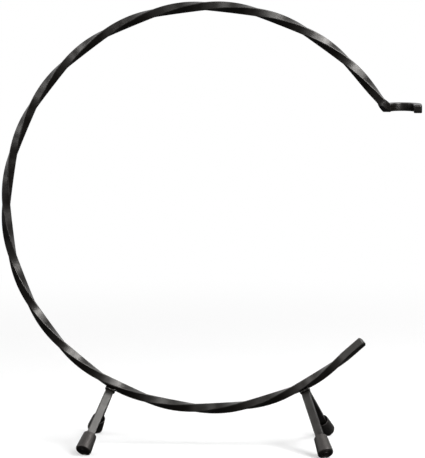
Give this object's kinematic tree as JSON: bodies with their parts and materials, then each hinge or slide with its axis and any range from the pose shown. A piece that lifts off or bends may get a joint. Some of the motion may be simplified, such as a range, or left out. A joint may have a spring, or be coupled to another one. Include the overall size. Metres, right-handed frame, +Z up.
{
  "type": "gong stand",
  "caption": "Free-standing tabletop hanging frame: a twisted square bar rolled into an open ring with a U hook at its upper end, carried by inverted V legs with rubber ferrules.",
  "frame": {"origin": "middle of the stand's footprint box, on the surface that its feet stand on", "axes": "+Z up, +X to the right as seen from the front, where the ring is open and the hook is, +Y to the rear"},
  "size_m": [0.308, 0.0934, 0.3277],
  "materials": {
    "black_paint": "satin to semi-gloss black paint over steel bar",
    "black_rubber": "matt to satin dark grey-black moulded rubber"
  },
  "bodies": {
    "root": {"ring_bar": "black_paint", "leg_bar_left": "black_paint", "leg_bar_right": "black_paint", "weld_left_outer": "black_paint", "weld_left_inner": "black_paint", "weld_right_outer": "black_paint", "weld_right_inner": "black_paint", "foot_front_left": "black_rubber", "foot_front_right": "black_rubber", "foot_rear_left": "black_rubber", "foot_rear_right": "black_rubber"}
  },
  "joints": []
}
